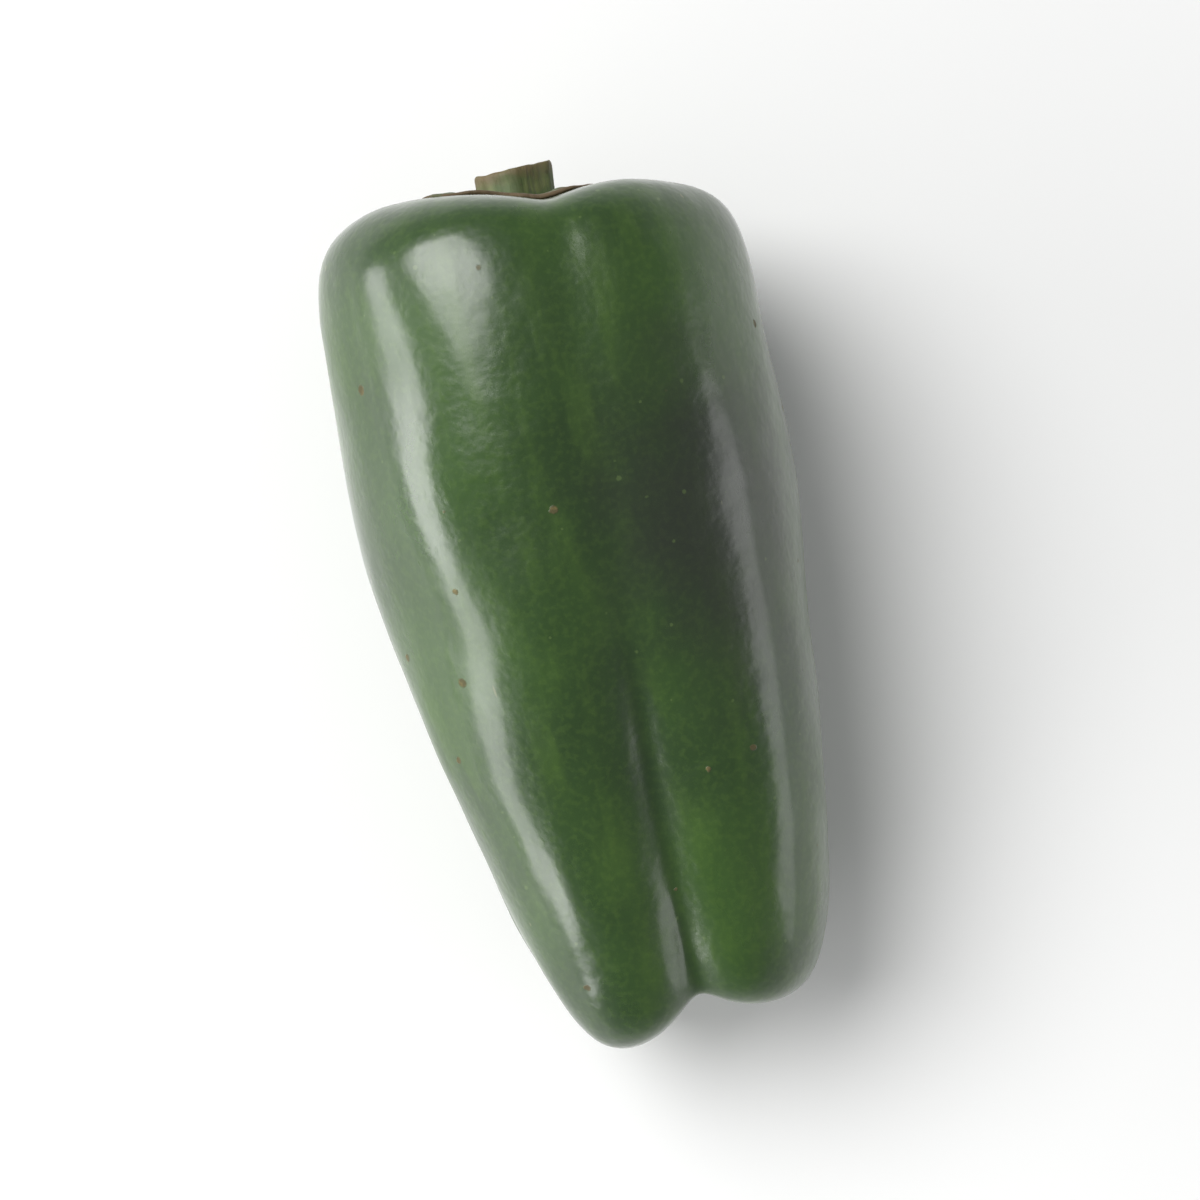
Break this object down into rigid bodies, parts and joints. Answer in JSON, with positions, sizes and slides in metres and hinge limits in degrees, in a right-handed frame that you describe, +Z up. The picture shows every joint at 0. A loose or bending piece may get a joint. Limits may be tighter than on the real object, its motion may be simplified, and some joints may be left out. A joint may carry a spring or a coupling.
{
  "type": "bell pepper",
  "caption": "Whole small tapered green pepper with lobed flanks, a scalloped calyx and a short cut stem, lying on its side on a small flat of its skin.",
  "frame": {"origin": "middle of the footprint, at the level of the surface that the pepper lies on", "axes": "+Z up, +Y from the blossom end towards the stem end, +X to the right of a viewer who looks down with the stem end away"},
  "size_m": [0.0428, 0.0856, 0.0403],
  "materials": {
    "skin": "gloss",
    "calyx": "satin",
    "stem": "matte"
  },
  "bodies": {
    "root": {"fruit": "skin", "calyx": "calyx", "stem": "stem"}
  },
  "joints": []
}
